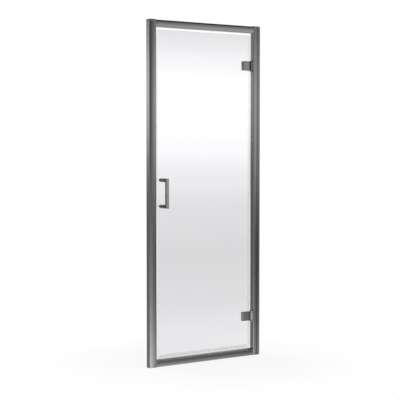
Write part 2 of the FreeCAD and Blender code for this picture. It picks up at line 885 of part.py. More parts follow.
def glass_sleeves():
    """Plastic sleeves that line the holes in the glass."""
    sleeves = []
    for x, z, radius in sleeve_places():
        bore = radius + hole_clearance
        tube = rod(bore + sleeve_wall, (x, glass_front, z), (x, glass_back, z))
        sleeves.append(tube.cut(rod(bore, (x, glass_front, z), (x, glass_back, z))))
    return sleeves


# Handle
def handle_bar():
    """A square bar with softened edges, tapped from behind for its two bolts."""
    half_width_of_bar = handle_bar_width / 2
    end = standoff_diameter / 2
    bar = box((handle_x - half_width_of_bar, handle_x + half_width_of_bar), (bar_front, standoff_front),
              (handle_heights[0] - end, handle_heights[1] + end))
    bar = bar.makeFillet(handle_edge_radius, bar.Edges)
    for height in handle_heights:
        bar = bar.cut(rod(handle_bolt_diameter / 2 + fit_clearance,
                          (handle_x, standoff_front - handle_bolt_engagement - hole_clearance, height),
                          (handle_x, standoff_front, height)))
    return bar


def handle_standoff(height):
    """A round spacer between the glass and the bar."""
    near = glass_front - washer_thickness
    shape = rod(standoff_diameter / 2, (handle_x, standoff_front, height), (handle_x, near, height))
    return shape.cut(rod(handle_bolt_diameter / 2 + hole_clearance, (handle_x, standoff_front, height),
                         (handle_x, near, height)))


def handle_washers():
    """Soft washers on both faces of the glass."""
    washers = []
    outside = (glass_front - washer_thickness, standoff_diameter)
    inside = (glass_back, back_disc_diameter)
    for height in handle_heights:
        for near, diameter in (outside, inside):
            disc = rod(diameter / 2, (handle_x, near, height), (handle_x, near + washer_thickness, height))
            washers.append(disc.cut(rod(handle_bolt_diameter / 2 + hole_clearance, (handle_x, near, height),
                                        (handle_x, near + washer_thickness, height))))
    return washers


def handle_back_discs():
    """Discs inside the shower that hide the bolts' heads."""
    discs = []
    near = glass_back + washer_thickness
    far = near + back_disc_thickness
    seat = far - handle_bolt_head_height
    for height in handle_heights:
        disc = rod(back_disc_diameter / 2, (handle_x, near, height), (handle_x, far, height))
        disc = rounded(disc, plate_edge_radius, lambda edge: edge.CenterOfMass.y > seat)
        disc = disc.cut(rod(handle_bolt_diameter / 2 + hole_clearance, (handle_x, near, height),
                            (handle_x, far, height)))
        discs.append(disc.cut(rod(handle_bolt_head / 2 + hole_clearance, (handle_x, seat, height),
                                  (handle_x, far, height))))
    return discs


def handle_bolts():
    """Socket head bolts from inside, through the glass and the standoffs, into the bar."""
    seat = glass_back + washer_thickness + back_disc_thickness - handle_bolt_head_height
    bolts = []
    for height in handle_heights:
        bolts.append(headed_screw(handle_bolt_diameter / 2, handle_bolt_head / 2, handle_bolt_head_height,
                                  (handle_x, seat, height),
                                  (handle_x, standoff_front - handle_bolt_engagement, height)))
    return bolts


os.makedirs("parts", exist_ok=True)

write("wall_channel_strike", wall_channel(-1))
write("wall_channel_hinge", wall_channel(1))
write("strike_post", strike_post())
write("hinge_post", hinge_post())
write("upright_cap_strike", upright_cap(-1))
write("upright_cap_hinge", upright_cap(1))
write("top_rail", top_rail())
write("threshold_rail", threshold_rail())
write("rail_corner_screws", *corner_screws())
write("channel_clamp_screws", *clamp_screws())
write("clamp_screw_covers", *clamp_covers())

write("strike_seal_carrier", strike_carrier())
write("strike_magnet", magnet_strip(carrier_face - seal_wall - magnet_pocket, upstand_top, top_rail_bottom))
write("door_magnet_seal", door_magnet_seal())
write("door_magnet", magnet_strip(glass_strike_edge - strike_head + seal_wall, glass_bottom, glass_top))
write("hinge_side_seal", hinge_side_seal())
write("bottom_drip_seal", bottom_drip_seal())

for name, height in hinge_heights.items():
    write("hinge_bracket_" + name, hinge_bracket(height))
    write("hinge_pin_" + name, hinge_pin(height))
    write("hinge_front_plate_" + name, hinge_front_plate(height))
    write("hinge_back_plate_" + name, hinge_back_plate(height))
write("hinge_bracket_screws", *bracket_screws())
write("hinge_backing_plates", *backing_plates())
write("hinge_grub_screws", *grub_screws())
write("hinge_bushes", *hinge_bushes())
write("hinge_gaskets", *hinge_gaskets())
write("hinge_clamp_bolts", *clamp_bolts())

write("door_glass", door_glass())
write("glass_sleeves", *glass_sleeves())
write("handle_bar", handle_bar())
write("handle_standoff_upper", handle_standoff(handle_heights[1]))
write("handle_standoff_lower", handle_standoff(handle_heights[0]))
write("handle_washers", *handle_washers())
write("handle_back_discs", *handle_back_discs())
write("handle_bolts", *handle_bolts())
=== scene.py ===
import math

import bmesh
import bpy
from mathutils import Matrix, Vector


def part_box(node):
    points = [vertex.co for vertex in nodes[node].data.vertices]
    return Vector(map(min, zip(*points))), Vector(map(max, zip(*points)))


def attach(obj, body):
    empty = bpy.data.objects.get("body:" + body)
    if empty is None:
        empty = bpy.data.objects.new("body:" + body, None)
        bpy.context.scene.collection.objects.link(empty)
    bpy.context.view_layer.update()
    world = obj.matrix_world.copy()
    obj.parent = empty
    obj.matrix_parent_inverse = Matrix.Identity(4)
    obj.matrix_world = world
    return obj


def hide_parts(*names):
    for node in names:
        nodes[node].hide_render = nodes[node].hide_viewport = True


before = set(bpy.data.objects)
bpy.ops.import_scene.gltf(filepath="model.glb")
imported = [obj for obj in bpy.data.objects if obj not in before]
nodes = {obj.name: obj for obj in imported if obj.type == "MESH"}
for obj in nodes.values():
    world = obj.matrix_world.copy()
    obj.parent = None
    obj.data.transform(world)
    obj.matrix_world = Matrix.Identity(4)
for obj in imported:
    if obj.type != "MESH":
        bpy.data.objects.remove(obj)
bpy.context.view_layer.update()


# Wall channels: two U sections of extruded aluminium, brushed along their length and anodised dark grey.
# The fitter screws each one to its wall through the web, and a post slides into it to take up the width.
class Wire:
    """One output of a node. A sum on a value adds Math nodes to the same tree."""

    def __init__(self, tree, socket=None):
        self.tree = tree
        self.socket = socket

    def node(self, kind, settings, sockets, out=0):
        """Adds any node: its settings first, then the values or links of its sockets."""
        made = self.tree.nodes.new(kind)
        for name, value in settings.items():
            if name == "stops":
                ramp = made.color_ramp.elements
                ramp.remove(ramp[1])
                ramp[0].position, ramp[0].color = value[0]
                for position, colour in value[1:]:
                    ramp.new(position).color = colour
            elif name == "easing":
                made.color_ramp.interpolation = value
            else:
                setattr(made, name, value)
        for name, value in sockets.items():
            if isinstance(value, Wire):
                self.tree.links.new(value.socket, made.inputs[name])
            else:
                made.inputs[name].default_value = value
        return Wire(self.tree, made.outputs[out] if made.outputs else None)

    def other(self, name):
        """Another output of the same node."""
        return Wire(self.tree, self.socket.node.outputs[name])

    def part(self, axis):
        """The X, Y or Z of a place or a direction."""
        return self.node("ShaderNodeSeparateXYZ", {}, {"Vector": self}, axis)

    def maths(self, operation, first, second):
        return self.node("ShaderNodeMath", {"operation": operation}, {0: first, 1: second})

    def __add__(self, value):
        return self.maths("ADD", self, value)

    __radd__ = __add__

    def __sub__(self, value):
        return self.maths("SUBTRACT", self, value)

    def __rsub__(self, value):
        return self.maths("SUBTRACT", value, self)

    def __mul__(self, value):
        return self.maths("MULTIPLY", self, value)

    __rmul__ = __mul__

    def __abs__(self):
        return self.maths("ABSOLUTE", self, 0.0)

    def capped(self, low, high):
        return self.maths("MINIMUM", self.maths("MAXIMUM", self, low), high)

    def ramped(self, start, end):
        """0 up to start, 1 from end on, and straight between them."""
        return ((self - start) * (1 / (end - start))).capped(0.0, 1.0)

    def noise(self, scale, detail):
        return self.node("ShaderNodeTexNoise", {}, {"Vector": self, "Scale": scale, "Detail": detail})

    def stretched(self, scale):
        return self.node("ShaderNodeMapping", {}, {"Vector": self, "Scale": scale})

    def mixed(self, first, second):
        """A colour between two, where this wire is the share of the second."""
        return self.node("ShaderNodeMix", {"data_type": "RGBA"}, {0: self, 6: first, 7: second}, 2)

    def eased(self, start, end, first, last):
        """A value that goes smoothly from first to last while this one goes from start to end."""
        span = {"Value": self, "From Min": start, "From Max": end, "To Min": first, "To Max": last}
        return self.node("ShaderNodeMapRange", {"interpolation_type": "SMOOTHSTEP"}, span)

    def bump(self, strength, depth):
        return self.node("ShaderNodeBump", {}, {"Height": self, "Strength": strength, "Distance": depth})

    def edges(self, radius, gain):
        """A mask of the piece's sharp edges, where a finish wears first."""
        rounded = self.node("ShaderNodeBevel", {"samples": 4}, {"Radius": radius})
        straight = self.node("ShaderNodeNewGeometry", {}, {}, "Normal")
        both = {0: rounded, 1: straight}
        alike = self.node("ShaderNodeVectorMath", {"operation": "DOT_PRODUCT"}, both, "Value")
        return ((1 - alike) * gain).capped(0.0, 1.0)

    def open_air(self, reach):
        """How open a spot is: 1 in the open, and down to 0 deep in a corner."""
        return self.node("ShaderNodeAmbientOcclusion", {"samples": 8}, {"Distance": reach}, "AO")

    def shader(self, **sockets):
        """A Principled shader, whose sockets are named with _ for a space."""
        values = {name.replace("_", " "): value for name, value in sockets.items()}
        return self.node("ShaderNodeBsdfPrincipled", {}, values)

    def ends(self):
        """Makes this shader the finish's surface."""
        self.node("ShaderNodeOutputMaterial", {}, {"Surface": self})

    def surface(self, **sockets):
        """Ends a finish with one Principled shader."""
        self.shader(**sockets).ends()


def finish(name):
    """A new material, and the wire of its Object coordinates."""
    material = bpy.data.materials.new(name)
    material.use_nodes = True
    material.node_tree.nodes.clear()
    return material, Wire(material.node_tree).node("ShaderNodeTexCoord", {}, {}, "Object")


def toned(colour, share):
    """A colour made darker or paler by a share, with the fourth value that its socket takes."""
    return [channel * share for channel in colour] + [1.0]


def brushed(name, run, colour, worn, dull, corners=0.0, ledge=None):
    """Brushed metal with its grain along an axis: fine lines, long faint streaks and bright worn edges.
    Cut ends, across the grain, are painted darker as shade, and corners and spots close to other parts get
    painted shade, darker by the share given.
    From a ledge's height up, if one is given, a film of dried water dulls it."""
    material, place = finish(name)
    line_width, line_length = 0.0004, 0.08
    streak_width, streak_length = 0.006, 0.5
    fine = [1 / line_width] * 3
    fine[run] = 1 / line_length
    broad = [1 / streak_width] * 3
    broad[run] = 1 / streak_length
    lines = place.stretched(fine).noise(scale=1.0, detail=3.0)
    streaks = place.stretched(broad).noise(scale=1.0, detail=2.0)
    handled = place.noise(scale=7.0, detail=3.0)
    tone = (lines * 0.35 + streaks * 0.4 + handled * 0.25).capped(0.0, 1.0)
    dark = toned(colour, 0.9)
    pale = toned(colour, 1.1)
    body = place.edges(radius=0.0006, gain=1.5).mixed(tone.mixed(dark, pale), toned(worn, 1.0))
    # Faces across the grain are painted a quarter as bright: painted shade.
    facing = place.other("Normal").part("XYZ"[run])
    cut_end = abs(facing).ramped(0.95, 1.0)
    body = cut_end.mixed(body, toned(colour, 0.25))
    # Painted shade in corners and next to other parts, where ambient occlusion finds them close.
    if corners:
        painted_corner_shade = (1 - place.open_air(reach=0.025)).ramped(0.0, 0.5)
        body = painted_corner_shade.mixed(body, toned(dark[:3], 1 - corners))
    bare = 1.0
    if ledge:
        film_edge, film_share = 0.0005, 0.5
        bare = 1.0 - place.part("Z").ramped(ledge, ledge + film_edge) * film_share
    place.surface(
        Base_Color=body,
        Metallic=bare,
        Roughness=lines * 0.05 + handled * 0.06 + (dull - 0.055),
        Normal=lines.bump(strength=0.015, depth=0.0002),
    )
    return material


def dress(material, *names):
    """Gives CAD nodes their finish."""
    for name in names:
        for slot in nodes[name].material_slots:
            slot.material = material


along_x, along_y, along_z = range(3)
gunmetal = [0.272, 0.268, 0.262]
gunmetal_edge = [0.36, 0.355, 0.345]
upright_metal = brushed("upright_metal", along_z, gunmetal, gunmetal_edge, dull=0.13)
dress(upright_metal, "wall_channel_strike", "wall_channel_hinge")


# Posts: two box sections of the same brushed aluminium that stand in the channels and carry the rails.
# The strike post has a slot for the magnet strip, and the hinge post takes the brackets' screws.
# Corners and spots next to other parts carry painted shade.
post_metal = brushed("post_metal", along_z, gunmetal, gunmetal_edge, dull=0.13, corners=0.15)
dress(post_metal, "strike_post", "hinge_post")


# Rails: the top rail and the threshold are cut from bowed aluminium sections, brushed along their length.
# Screws through the posts' walls run into ports in their hollow ends. The threshold's ledge, where water
# stands, is filmed over from just below its top.
threshold_ledge = 0.0315
rail_metal = brushed("rail_metal", along_x, gunmetal, gunmetal_edge, dull=0.13)
trodden_metal = brushed("trodden_metal", along_x, gunmetal, gunmetal_edge, dull=0.14, ledge=threshold_ledge)
dress(rail_metal, "top_rail")
dress(trodden_metal, "threshold_rail")


# Caps: moulded plastic, sprayed to match the metal, pushed into the open tops of the uprights.
# The spray leaves a fine orange peel and is a little duller than the metal beside it.
def sprayed(name, colour, dull):
    """Metal-coloured spray on a moulding."""
    material, place = finish(name)
    peel = place.noise(scale=900.0, detail=2.0)
    cloud = place.noise(scale=30.0, detail=2.0)
    place.surface(
        Base_Color=cloud.mixed(toned(colour, 0.94), toned(colour, 1.06)),
        Metallic=0.85,
        Roughness=cloud * 0.08 + (dull - 0.04),
        Normal=peel.bump(strength=0.05, depth=0.0003),
    )
    return material


cap_spray = sprayed("cap_spray", gunmetal, dull=0.24)
dress(cap_spray, "upright_cap_strike", "upright_cap_hinge")


# Frame screws and backing plates: zinc-bright steel, turned and pressed, out of sight inside the uprights.
# Corner screws hold the rails, clamp screws lock the posts, and the plates take the brackets' screws.
def bright_steel(name, colour, dull):
    """Steel with a fine turned and tumbled surface."""
    material, place = finish(name)
    tumbled = place.noise(scale=1800.0, detail=3.0)
    cloud = place.noise(scale=120.0, detail=2.0)
    place.surface(
        Base_Color=cloud.mixed(toned(colour, 0.86), toned(colour, 1.1)),
        Metallic=1.0,
        Roughness=tumbled * 0.14 + (dull - 0.07),
        Normal=tumbled.bump(strength=0.08, depth=0.0002),
    )
    return material


screw_steel = bright_steel("screw_steel", [0.56, 0.555, 0.54], dull=0.3)
dress(screw_steel, "rail_corner_screws", "channel_clamp_screws", "hinge_backing_plates")


# Clamp screw covers: six small plastic mouldings that snap over the clamp screws' heads inside the shower.
# Each is a low dome on a flared foot, hollow underneath to take the head.
def new_object(name, data):
    """An object in the scene."""
    made = bpy.data.objects.new(name, data)
    bpy.context.scene.collection.objects.link(made)
    return made


def mesh_piece(name, shape, material, smooth_up_to=40.0):
    """A finished piece from a bmesh: doubles merged, faces outwards, smooth below an angle."""
    bmesh.ops.remove_doubles(shape, verts=shape.verts, dist=1e-6)
    bmesh.ops.recalc_face_normals(shape, faces=shape.faces)
    mesh = bpy.data.meshes.new(name)
    shape.to_mesh(mesh)
    shape.free()
    mesh.shade_smooth()
    mesh.set_sharp_from_angle(angle=math.radians(smooth_up_to))
    mesh.materials.append(material)
    return new_object(name, mesh)


def round_loop(across, up, radius, steps):
    """A round outline about a centre."""
    turns = [math.tau * step / steps for step in range(steps)]
    return [(across + radius * math.cos(turn), up + radius * math.sin(turn)) for turn in turns]


def turned(outline, steps):
    """A round shape: a closed outline of (radius, height) pairs turned about the y axis.
    A ring that lies on the axis is one point."""
    shape = bmesh.new()
    rings = []
    for radius, height in outline:
        if radius:
            spots = round_loop(0.0, 0.0, radius, steps)
            rings.append([shape.verts.new((across, height, up)) for across, up in spots])
        else:
            rings.append([shape.verts.new((0.0, height, 0.0))] * steps)
    for index, ring in enumerate(rings):
        before = rings[index - 1]
        for step in range(steps):
            corners = dict.fromkeys((before[step - 1], before[step], ring[step], ring[step - 1]))
            if len(corners) > 2:
                shape.faces.new(list(corners))
    return shape


def copies_tree():
    """Sets a copy of one part at each point of a mesh, with the finish it is given."""
    tree = bpy.data.node_groups.new("copies", "GeometryNodeTree")
    kinds = {"Points": "Geometry", "Part": "Object", "Size": "Float", "Finish": "Material"}
    named = {}
    for name, kind in kinds.items():
        socket = tree.interface.new_socket(name, in_out="INPUT", socket_type="NodeSocket" + kind)
        named[name] = socket.identifier
    tree.interface.new_socket("Copies", in_out="OUTPUT", socket_type="NodeSocketGeometry")
    points = Wire(tree).node("NodeGroupInput", {}, {}, "Points")
    part = points.node("GeometryNodeObjectInfo", {}, {"Object": points.other("Part")}, "Geometry")
    size = points.node("ShaderNodeCombineXYZ", {}, {axis: points.other("Size") for axis in "XYZ"})
    spread = {"Points": points, "Instance": part, "Scale": size}
    placed = points.node("GeometryNodeInstanceOnPoints", {}, spread)
    solid = placed.node("GeometryNodeRealizeInstances", {}, {"Geometry": placed})
    coat = {"Geometry": solid, "Material": points.other("Finish")}
    shown = solid.node("GeometryNodeSetMaterial", {}, coat)
    shown.node("NodeGroupOutput", {}, {"Copies": shown})
    return tree, named


copies, copies_input = copies_tree()


def copied(name, part, spots, material):
    """One piece made of copies of a part at the spots, which are given in metres."""
    marks = bpy.data.meshes.new(name + "_spots")
    marks.from_pydata(spots, [], [])
    carrier = new_object(name + "_spots", marks)
    modifier = carrier.modifiers.new("copies", "NODES")
    modifier.node_group = copies
    modifier[copies_input["Part"]] = part
    modifier[copies_input["Size"]] = 1.0
    modifier[copies_input["Finish"]] = material
    evaluated = carrier.evaluated_get(bpy.context.evaluated_depsgraph_get())
    mesh = bpy.data.meshes.new_from_object(evaluated)
    mesh.name = name
    for spare in (carrier, part):
        bpy.data.objects.remove(spare)
    return new_object(name, mesh)


def plastic(name, colour, dull):
    """Solid-coloured moulded plastic with a fine spark-eroded grain."""
    material, place = finish(name)
    grain = place.noise(scale=2500.0, detail=2.0)
    cloud = place.noise(scale=60.0, detail=2.0)
    place.surface(
        Base_Color=cloud.mixed(toned(colour, 0.92), toned(colour, 1.06)),
        Roughness=grain * 0.1 + (dull - 0.05),
        Normal=grain.bump(strength=0.1, depth=0.0001),
    )
    return material


cover_foot, cover_shoulder, cover_dome = 0.0054, 0.0052, 0.0040
cover_inside, cover_room = 0.0042, 0.0028
cover_lift = 0.00002
cover_steps = 32
cover_outline = [
    (cover_inside, cover_lift),
    (cover_foot, cover_lift),
    (cover_foot, 0.0006),
    (cover_shoulder, 0.0009),
    (cover_shoulder, 0.0024),
    (0.0047, 0.0033),
    (0.0036, 0.0038),
    (0.0018, cover_dome - 0.00004),
    (0.0, cover_dome),
    (0.0, cover_room),
    (cover_inside, cover_room),
]
cover_low, cover_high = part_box("clamp_screw_covers")
cover_row = cover_high.x - cover_foot
cover_base = cover_low.y
cover_heights = (cover_low.z + cover_foot, (cover_low.z + cover_high.z) / 2, cover_high.z - cover_foot)
cover_grey = plastic("cover_grey", [0.13, 0.13, 0.128], dull=0.42)
one_cover = mesh_piece("one_cover", turned(cover_outline, cover_steps), cover_grey)
cover_spots = [(hand * cover_row, cover_base, height) for hand in (-1, 1) for height in cover_heights]
covers = copied("screw_covers", one_cover, cover_spots, cover_grey)
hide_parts("clamp_screw_covers")
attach(covers, "frame")


# Strike strip: a soft, nearly clear plastic extrusion, held in the strike post's slot by its T-shaped foot.
# A flat pale magnet lies in the pocket along its face.
def box_mm(node):
    """A node's lowest and highest corners in millimetres."""
    return [corner * 1000 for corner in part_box(node)]


def rounded_loop(corners, steps=4):
    """A closed outline: each corner is (across, back, radius), softened by a curve of a few steps.
    The curve takes less than half of the sides that it joins."""
    side_share = 0.49
    loop = []
    for index, (across, back, radius) in enumerate(corners):
        before = corners[index - 1]
        after = corners[(index + 1) % len(corners)]
        to_before = (before[0] - across, before[1] - back)
        to_after = (after[0] - across, after[1] - back)
        long_before = math.hypot(*to_before)
        long_after = math.hypot(*to_after)
        cosine = (to_before[0] * to_after[0] + to_before[1] * to_after[1]) / (long_before * long_after)
        half_angle = math.acos(max(-1.0, min(1.0, cosine))) / 2
        reach = min(radius / math.tan(half_angle), long_before * side_share, long_after * side_share)
        start = (across + to_before[0] / long_before * reach, back + to_before[1] / long_before * reach)
        end = (across + to_after[0] / long_after * reach, back + to_after[1] / long_after * reach)
        for step in range(steps + 1):
            share = step / steps
            first = (1 - share) ** 2
            middle = 2 * share * (1 - share)
            last = share ** 2
            loop.append((start[0] * first + across * middle + end[0] * last,
                         start[1] * first + back * middle + end[1] * last))
    return loop


pocket_near, pocket_far = 1.0, 7.0


def pocket_loop(start, end, radius):
    """The outline of a hollow in a strip, from one place across it to another."""
    return rounded_loop([
        (start, pocket_near, radius),
        (end, pocket_near, radius),
        (end, pocket_far, radius),
        (start, pocket_far, radius),
    ])


def upright_place(across, back, run):
    """Where a strip's outline lies, in metres, when its run goes up."""
    return (across / 1000, back / 1000, run / 1000)


def extruded(shape, stations, place):
    """Adds a strip to a bmesh: outlines joined from station to station along the run, with closed ends."""
    rows = []
    for run, loops in stations:
        rows.append([[shape.verts.new(place(*spot, run)) for spot in loop] for loop in loops])
    for near, far in zip(rows, rows[1:]):
        for near_loop, far_loop in zip(near, far):
            for index in range(len(near_loop)):
                corners = (near_loop[index - 1], near_loop[index], far_loop[index], far_loop[index - 1])
                shape.faces.new(corners)
    for row in (rows[0], rows[-1]):
        pairs = [(loop[index - 1], loop[index]) for loop in row for index in range(len(loop))]
        rim = [shape.edges.get(pair) for pair in pairs]
        bmesh.ops.triangle_fill(shape, use_beauty=True, use_dissolve=False, edges=rim)


def by_level(value, levels, low, high):
    """A grey that follows a value between two ends, given as (value, grey)."""
    stops = [((level - low) / (high - low), (grey, grey, grey, 1.0)) for level, grey in levels]
    ramp = value.node("ShaderNodeValToRGB", {"stops": stops}, {"Fac": value.ramped(low, high)})
    return ramp.node("ShaderNodeRGBToBW", {}, {"Color": ramp})


shades_top = 2.0


def milky(name, shades, hides, dull, clear_to=None):
    """Soft clear plastic gone slightly milky, with faint draw lines from the die along its run.
    Its greys are given as (height, grey), where a change with height is painted shade, and it hides a share
    of what lies behind it.
    Up to a place along x, if one is given, it stays clearer."""
    material, place = finish(name)
    draw = place.stretched([1800.0, 1800.0, 30.0]).noise(scale=1.0, detail=2.0)
    cloud = place.noise(scale=18.0, detail=3.0)
    grey = by_level(place.part("Z"), shades, 0.0, shades_top)
    veil = draw * 0.02 + cloud * 0.02 + (hides - 0.02)
    if clear_to is not None:
        clear_edge, clear_share = 0.001, 0.2
        veil = place.part("X").ramped(clear_to, clear_to + clear_edge).capped(clear_share, 1.0) * veil
    place.surface(
        Base_Color=grey * (cloud * 0.08 + 0.96),
        Roughness=draw * 0.08 + cloud * 0.08 + (dull - 0.08),
        Alpha=veil,
        Normal=draw.bump(strength=0.02, depth=0.0002),
    )
    return material


strike_clear = milky("strike_clear", [(0.0, 0.97), (1.8, 0.97)], hides=0.025, dull=0.3)
strip_low, strip_high = box_mm("strike_seal_carrier")
strip_face = strip_high.x
strip_depth = 8.0
post_side = -332.45
slot_floor = -333.95
neck_near, neck_far = 1.7, 6.3
foot_near, foot_far = 0.2, 7.8
toe_near, toe_far = 1.0, 7.0
strip_outline = rounded_loop([
    (strip_face, 0.0, 1.0),
    (strip_face, strip_depth, 1.0),
    (post_side, strip_depth, 0.5),
    (post_side, neck_far, 0.2),
    (slot_floor, neck_far, 0.2),
    (slot_floor, foot_far, 0.3),
    (strip_low.x, toe_far, 0.5),
    (strip_low.x, toe_near, 0.5),
    (slot_floor, foot_near, 0.3),
    (slot_floor, neck_near, 0.2),
    (post_side, neck_near, 0.2),
    (post_side, 0.0, 0.5),
])
pocket_corner = 0.4
strip_pocket = pocket_loop(start=-327.0, end=-330.2, radius=pocket_corner)
strip_loops = [strip_outline, strip_pocket]
strip_shape = bmesh.new()
extruded(strip_shape, [(run, strip_loops) for run in (strip_low.z, strip_high.z)], upright_place)
strike_strip = mesh_piece("strike_strip", strip_shape, strike_clear)
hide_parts("strike_seal_carrier")
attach(strike_strip, "frame")

magnet_white = milky("magnet_white", [(0.0, 0.95), (1.8, 0.95)], hides=0.2, dull=0.5)
dress(magnet_white, "strike_magnet")


# Glass leaf: one sheet of 6 mm toughened clear glass with ground edges, drilled for hinges and handle.
# Painted shade darkens it softly towards its top and again below its middle, and it carries the faint haze
# of a wiped pane.
def pane(name, shades, haze):
    """Clear glass with a painted shade that changes slowly with height, given as (height, share passed).
    Where it faces sideways, up or down, it is ground: a little cloudy and dull."""
    material, place = finish(name)
    stops = [(level / shades_top, (passed, passed, passed * 1.02, 1.0)) for level, passed in shades]
    height = place.part("Z").ramped(0.0, shades_top)
    depth = place.node("ShaderNodeValToRGB", {"stops": stops, "easing": "EASE"}, {"Fac": height})
    wiped = place.stretched([3.0, 3.0, 1.2]).noise(scale=1.0, detail=3.0)
    clear = place.shader(
        Base_Color=depth,
        Roughness=(wiped * haze - haze * 0.4).capped(0.0, 1.0),
        Transmission_Weight=1.0,
        IOR=1.5,
    )
    grit = place.noise(scale=1500.0, detail=2.0)
    ground = place.shader(
        Base_Color=grit.mixed((0.9, 0.93, 0.92, 1.0), (0.96, 0.98, 0.97, 1.0)),
        Roughness=grit * 0.2 + 0.4,
        Alpha=0.1,
    )
    facing = place.other("Normal").part("Y")
    edge = 1 - abs(facing).ramped(0.25, 0.75)
    clear.node("ShaderNodeMixShader", {}, {0: edge, 1: clear, 2: ground}).ends()
    return material


glass_painted_shade = [
    (0.05, 0.87),
    (0.17, 0.815),
    (0.34, 0.745),
    (0.58, 0.717),
    (0.83, 0.757),
    (1.00, 0.845),
    (1.16, 0.965),
    (1.26, 0.995),
    (1.55, 0.995),
    (1.65, 0.92),
    (1.73, 0.84),
    (1.80, 0.785),
]
leaf_glass = pane("leaf_glass", glass_painted_shade, haze=0.03)
dress(leaf_glass, "door_glass")


# Free edge seal: the same clear plastic, pushed on the glass, with a hollow and a pocket for its magnet.
# When the leaf shuts, its magnet draws it to the strike strip's.
edge_low, edge_high = box_mm("door_magnet_seal")
glass_low, glass_high = box_mm("door_glass")
seal_gap = 0.06
glass_front, glass_back = glass_low.y - seal_gap, glass_high.y + seal_gap
edge_glass = glass_low.x - seal_gap
edge_taper = -312.0
lip_front, lip_back = 0.42, 7.58
edge_outline = rounded_loop([
    (edge_low.x, edge_low.y, 1.3),
    (edge_taper, edge_low.y, 3.0),
    (edge_high.x, lip_front, 0.25),
    (edge_high.x, glass_front, 0.2),
    (edge_glass, glass_front, 0.3),
    (edge_glass, glass_back, 0.3),
    (edge_high.x, glass_back, 0.2),
    (edge_high.x, lip_back, 0.25),
    (edge_taper, edge_high.y, 3.0),
    (edge_low.x, edge_high.y, 1.3),
])
hollow_corner = 1.9
edge_pocket = pocket_loop(start=-324.0, end=-320.8, radius=pocket_corner)
edge_hollow = pocket_loop(start=-319.8, end=-315.6, radius=hollow_corner)
edge_loops = [edge_outline, edge_pocket, edge_hollow]
edge_shape = bmesh.new()
extruded(edge_shape, [(run, edge_loops) for run in (edge_low.z, edge_high.z)], upright_place)
edge_seal = mesh_piece("free_edge_seal", edge_shape, strike_clear)
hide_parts("door_magnet_seal")
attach(edge_seal, "door")
dress(magnet_white, "door_magnet")


# Hinge edge seal: a plastic strip pushed on the glass, whose cloudy fin closes the gap to the hinge post.
# Its legs are clear. A bead runs along the fin's edge, and the fin is cut back where the brackets stand.
fin_low, fin_high = box_mm("hinge_side_seal")
hinge_glass = glass_high.x + seal_gap
fin_middle = (glass_low.y + glass_high.y) / 2
fin_taper, fin_shoulder, fin_root = 311.0, 314.0, 315.4
root_half, blade_half = 0.6, 0.42
bead_start, bead_swell = 2.4, 1.2
bead_half, tip_half = 0.95, 0.9
cut_back = 326.0
cut_margin = 2.5


def fin_outline(tip):
    """The strip's outline with its fin reaching to a tip along x."""
    return rounded_loop([
        (fin_low.x, lip_front, 0.25),
        (fin_taper, fin_low.y, 3.0),
        (fin_shoulder, fin_low.y, 1.3),
        (fin_root, fin_middle - root_half, 1.2),
        (tip - bead_start, fin_middle - blade_half, 0.6),
        (tip - bead_swell, fin_middle - bead_half, 0.7),
        (tip, fin_middle - tip_half, 0.7),
        (tip, fin_middle + tip_half, 0.7),
        (tip - bead_swell, fin_middle + bead_half, 0.7),
        (tip - bead_start, fin_middle + blade_half, 0.6),
        (fin_root, fin_middle + root_half, 1.2),
        (fin_shoulder, fin_high.y, 1.3),
        (fin_taper, fin_high.y, 3.0),
        (fin_low.x, lip_back, 0.25),
        (fin_low.x, glass_back, 0.2),
        (hinge_glass, glass_back, 0.3),
        (hinge_glass, glass_front, 0.3),
        (fin_low.x, glass_front, 0.2),
    ])


# The fin's greys by height are painted shade that follows the glass's painted shade.
seal_painted_shade = [
    (0.05, 0.25),
    (0.4, 0.08),
    (1.07, 0.08),
    (1.18, 0.3),
    (1.3, 0.66),
    (1.4, 0.76),
    (1.55, 0.76),
    (1.7, 0.48),
    (1.8, 0.4),
]
seal_milk = milky("seal_milk", seal_painted_shade, hides=0.16, dull=0.3, clear_to=hinge_glass / 1000)
full_fin = [fin_outline(fin_high.x)]
short_fin = [fin_outline(cut_back)]
fin_stations = [(fin_low.z, full_fin)]
for level in ("lower", "upper"):
    bracket_low, bracket_high = box_mm("hinge_bracket_" + level)
    cut_start = bracket_low.z - cut_margin
    cut_end = bracket_high.z + cut_margin
    fin_stations += [(cut_start, full_fin), (cut_start, short_fin)]
    fin_stations += [(cut_end, short_fin), (cut_end, full_fin)]
fin_stations.append((fin_high.z, full_fin))
fin_shape = bmesh.new()
extruded(fin_shape, fin_stations, upright_place)
fin_seal = mesh_piece("hinge_edge_seal", fin_shape, seal_milk)
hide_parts("hinge_side_seal")
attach(fin_seal, "door")


# Drip seal: a pale plastic shoe pushed on the glass's bottom edge, with a fin that hangs before the upstand
# of the threshold. Its legs stop short of the side seals, and the shoe and fin run the full width.
drip_low, drip_high = box_mm("bottom_drip_seal")
shoe_thickness = 0.94
shoe_top = glass_low.z - seal_gap
shoe_under = shoe_top - shoe_thickness
shoe_front, shoe_back = 0.0, 8.0
shoe_slope = 0.3
leg_taper = 54.0
leg_room = 1.0
run_gap = 0.02
fin_face = drip_high.y
drip_tip_front, drip_tip_back = 0.25, 0.95
drip_bend, drip_drop = 1.2, 1.5
drip_start = 6.2


def lying_place(back, up, run):
    """Where a strip's outline lies, in metres, when its run goes across."""
    return (run / 1000, back / 1000, up / 1000)


